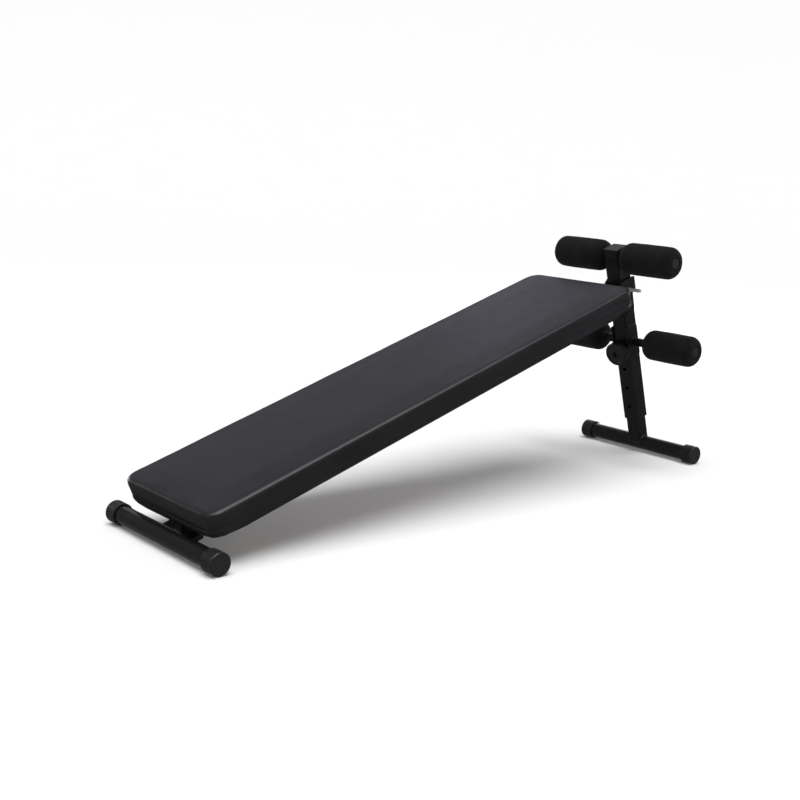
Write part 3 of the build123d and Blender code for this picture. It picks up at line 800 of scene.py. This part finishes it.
def make_stage(material):
    """Round flat floor whose rim climbs gently all round, so that no horizon shows."""
    profile = [(radius, 0.0) for radius in FLOOR_FLAT]
    for k in range(1, FLOOR_STEPS + 1):
        slope = math.tan(math.radians(FLOOR_CLIMB * (k - 0.5) / FLOOR_STEPS))
        radius, height = profile[-1]
        run = FLOOR_CURVE / FLOOR_STEPS
        profile.append((radius + run, height + slope * run))
    radius, height = profile[-1]
    rise = (FLOOR_EDGE - radius) * math.tan(math.radians(FLOOR_CLIMB))
    profile.append((FLOOR_EDGE, height + rise))
    bm = bmesh.new()
    rings = []
    for radius, height in profile:
        angles = (2 * math.pi * k / FLOOR_SIDES for k in range(FLOOR_SIDES))
        rings.append([bm.verts.new((radius * math.cos(a), radius * math.sin(a), height)) for a in angles])
    bm.faces.new(rings[0])
    for first, second in zip(rings, rings[1:]):
        bridge(bm, first, second)
    made = new_mesh("studio_floor", bm)
    smooth_faces(made.data)
    made.data.materials.append(material)
    made.location.z = -0.5 * MM
    made.visible_glossy = False


floor_surface = Surface("floor")
floor_surface.mottle(floor_surface.noise(3.0), (0.858, 0.858, 0.858), (0.862, 0.862, 0.862))
make_stage(floor_surface.finish(0.9, Specular_IOR_Level=0.0))

world = bpy.data.worlds.new("studio")
bpy.context.scene.world = world
world.use_nodes = True
world.node_tree.nodes["Background"].inputs["Color"].default_value = (0.97, 0.98, 1.0, 1.0)
world.node_tree.nodes["Background"].inputs["Strength"].default_value = 0.12

sun_data = bpy.data.lights.new("overhead", "SUN")
sun_data.energy = 2.9
sun_data.angle = math.radians(54)
sun = bpy.data.objects.new("overhead", sun_data)
sun.rotation_euler = (math.radians(6), math.radians(8), 0.0)
bpy.context.scene.collection.objects.link(sun)

WHITE = (1.0, 1.0, 1.0)
COOL = (1.0, 0.95, 1.18)
# name, place, point that it faces, width, height, watts, colour
SOFT_LIGHTS = (
    ("back", (-3.0, 1.1, 2.1), (0.0, -0.1, 0.2), 2.6, 1.4, 3.4, COOL),
    ("far_back", (-2.0, 2.3, 2.0), (0.0, 0.2, 0.25), 1.4, 1.4, 1.9, COOL),
    ("right", (3.2, 0.4, 1.3), (0.0, 0.0, 0.25), 1.2, 1.2, 5.0, WHITE),
    ("front", (0.6, -3.6, 1.5), (0.0, -0.5, 0.1), 2.4, 0.8, 7.0, WHITE),
    ("rear_right", (1.0, 3.7, 1.0), (0.0, 0.5, 0.25), 1.6, 1.0, 11.0, WHITE),
    ("left", (-3.2, -0.9, 0.6), (0.0, 0.0, 0.2), 1.6, 0.8, 14.0, WHITE),
    ("far_front", (2.6, -2.2, 2.3), (0.0, 0.0, 0.2), 2.4, 1.4, 4.5, WHITE),
    ("rear_left", (-1.6, 3.4, 0.9), (0.0, 0.4, 0.25), 1.6, 1.0, 13.0, WHITE),
)
for name, place, target, width, height, watts, colour in SOFT_LIGHTS:
    light = bpy.data.lights.new(name, "AREA")
    light.energy = watts
    light.color = colour
    light.shape = "RECTANGLE"
    light.size = width
    light.size_y = height
    lamp = bpy.data.objects.new(name, light)
    lamp.location = place
    lamp.rotation_euler = (Vector(target) - Vector(place)).to_track_quat("-Z", "Y").to_euler()
    bpy.context.scene.collection.objects.link(lamp)

# The camera was fitted to the photograph's visible corners, ends and holes.
FOCAL_PX = 1220.78
FRAME_PX = 800.0
SENSOR = 36.0
CAMERA_SPOT = (1.739176, -1.655573, 0.691429)
YAW, PITCH, ROLL = (math.radians(a) for a in (48.583, 11.929, 2.435))
backward = Vector((math.sin(YAW) * math.cos(PITCH), -math.cos(YAW) * math.cos(PITCH), math.sin(PITCH)))
level_right = Vector((math.cos(YAW), math.sin(YAW), 0.0))
level_up = backward.cross(level_right)
right = level_right * math.cos(ROLL) + level_up * math.sin(ROLL)
up = level_up * math.cos(ROLL) - level_right * math.sin(ROLL)
camera_data = bpy.data.cameras.new("camera")
camera_data.sensor_width = SENSOR
camera_data.lens = FOCAL_PX / FRAME_PX * SENSOR
camera_data.clip_start = 0.05
camera = bpy.data.objects.new("camera", camera_data)
rotation = Matrix([[c[i] for c in (right, up, backward)] for i in range(3)])
camera.matrix_world = Matrix.Translation(CAMERA_SPOT) @ rotation.to_4x4()
bpy.context.scene.collection.objects.link(camera)
bpy.context.scene.camera = camera
bpy.context.scene.view_settings.view_transform = "Standard"
